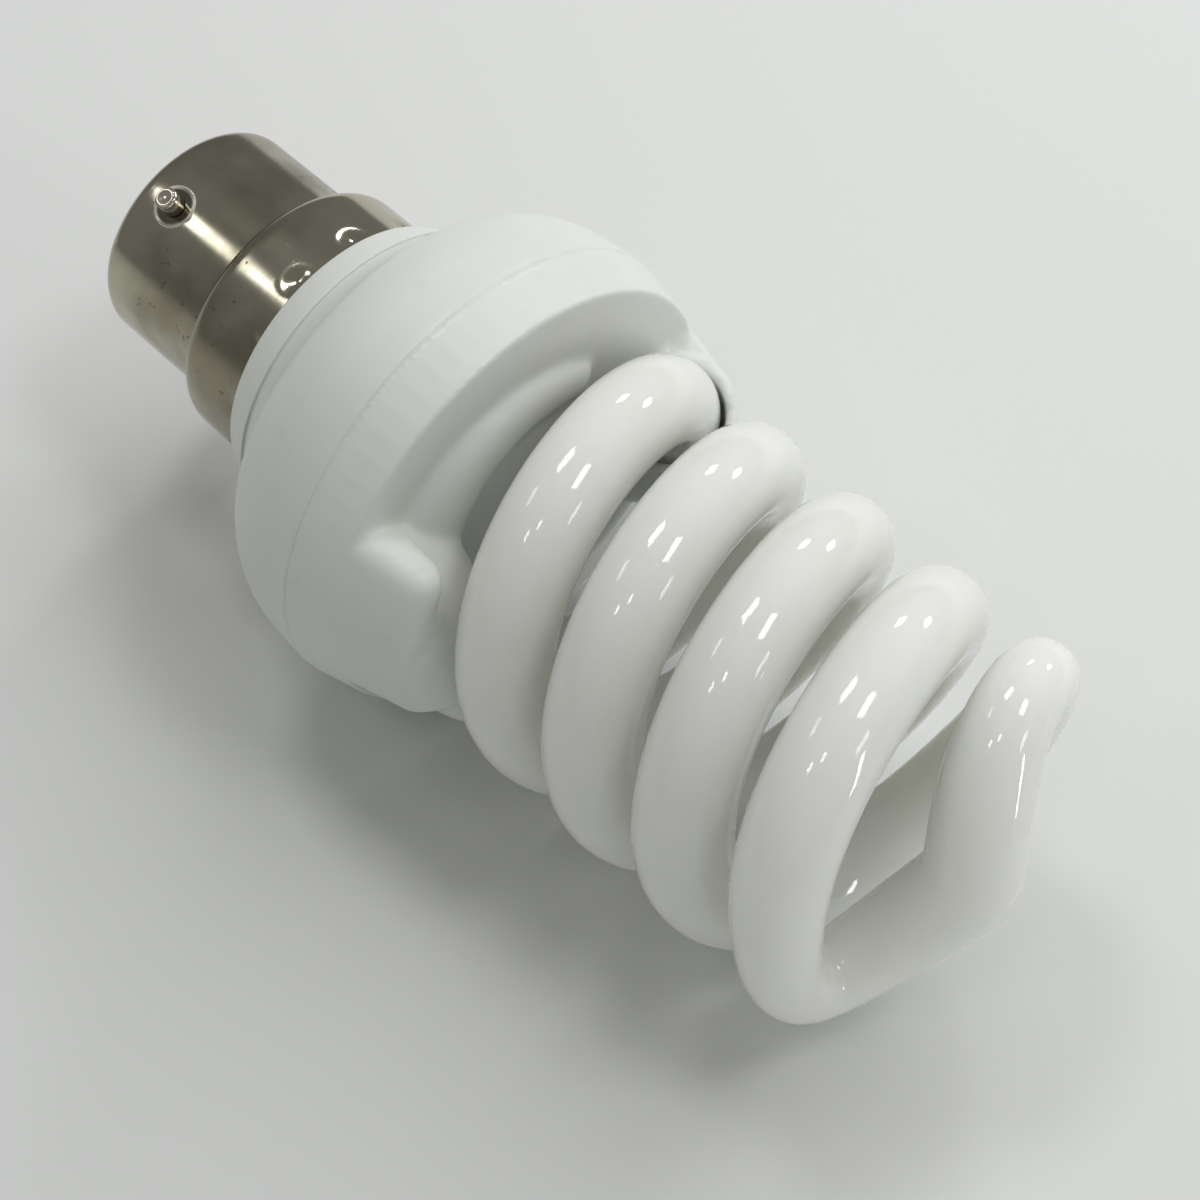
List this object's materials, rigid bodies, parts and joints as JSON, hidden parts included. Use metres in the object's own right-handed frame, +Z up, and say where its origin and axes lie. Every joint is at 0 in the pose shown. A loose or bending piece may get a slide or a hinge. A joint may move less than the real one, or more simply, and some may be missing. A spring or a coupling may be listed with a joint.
{
  "type": "spiral energy saving bulb",
  "caption": "Compact fluorescent lamp: a white glass double spiral on a plastic ballast housing with a two-pin bayonet cap, to be held in a lamp holder.",
  "frame": {"origin": "on the lamp's axis, in the plane of the two bayonet pins", "axes": "+X along the lamp's axis from the cap to the tip of the spiral, +Z up"},
  "size_m": [0.1059, 0.0474, 0.0474],
  "materials": {
    "nickel_plate": "polished nickel plate, slightly tarnished",
    "pin_metal": "plated brass rivet",
    "housing_plastic": "satin white moulding",
    "tube_glass": "glossy glass, white coating inside",
    "insulator": "black glassy insulator",
    "solder": "solder on brass plate",
    "board_laminate": "brown paper laminate",
    "capacitor_sleeve": "shrunk sleeve on an aluminium can",
    "film_epoxy": "dipped epoxy",
    "ferrite": "fired ferrite",
    "bobbin_plastic": "moulded bobbin",
    "copper_wire": "enamelled copper winding",
    "black_epoxy": "moulded component case",
    "resistor_coat": "coated resistor",
    "diac_glass": "glass diode case",
    "lead_sleeve": "insulated lead",
    "tinned_wire": "tinned wire",
    "cement": "dry white cement"
  },
  "bodies": {
    "root": {"cap_shell": "nickel_plate", "bayonet_pin_1": "pin_metal", "bayonet_pin_2": "pin_metal", "cap_insulator": "insulator", "contact_1": "solder", "contact_2": "solder", "upper_housing": "housing_plastic", "tube_cover": "housing_plastic", "spiral_tube": "tube_glass", "tube_cement_1": "cement", "tube_cement_2": "cement", "circuit_board": "board_laminate", "bulk_capacitor": "capacitor_sleeve", "choke_core_lower": "ferrite", "choke_core_upper": "ferrite", "choke_bobbin": "bobbin_plastic", "choke_winding": "copper_wire", "drive_core": "ferrite", "drive_winding_1": "copper_wire", "drive_winding_2": "copper_wire", "drive_winding_3": "copper_wire", "filter_core": "ferrite", "filter_winding": "copper_wire", "transistor_1": "black_epoxy", "transistor_2": "black_epoxy", "resonant_capacitor": "film_epoxy", "start_capacitor": "film_epoxy", "blocking_capacitor": "film_epoxy", "rectifier_diode_1": "black_epoxy", "rectifier_diode_2": "black_epoxy", "rectifier_diode_3": "black_epoxy", "rectifier_diode_4": "black_epoxy", "resistor_1": "resistor_coat", "resistor_2": "resistor_coat", "resistor_3": "resistor_coat", "diac": "diac_glass", "fuse_resistor": "resistor_coat", "wrap_post_1": "tinned_wire", "wrap_post_2": "tinned_wire", "wrap_post_3": "tinned_wire", "wrap_post_4": "tinned_wire", "tube_lead_1": "tinned_wire", "tube_lead_2": "tinned_wire", "tube_lead_3": "tinned_wire", "tube_lead_4": "tinned_wire", "supply_lead_1": "lead_sleeve", "supply_lead_2": "lead_sleeve"}
  },
  "joints": []
}
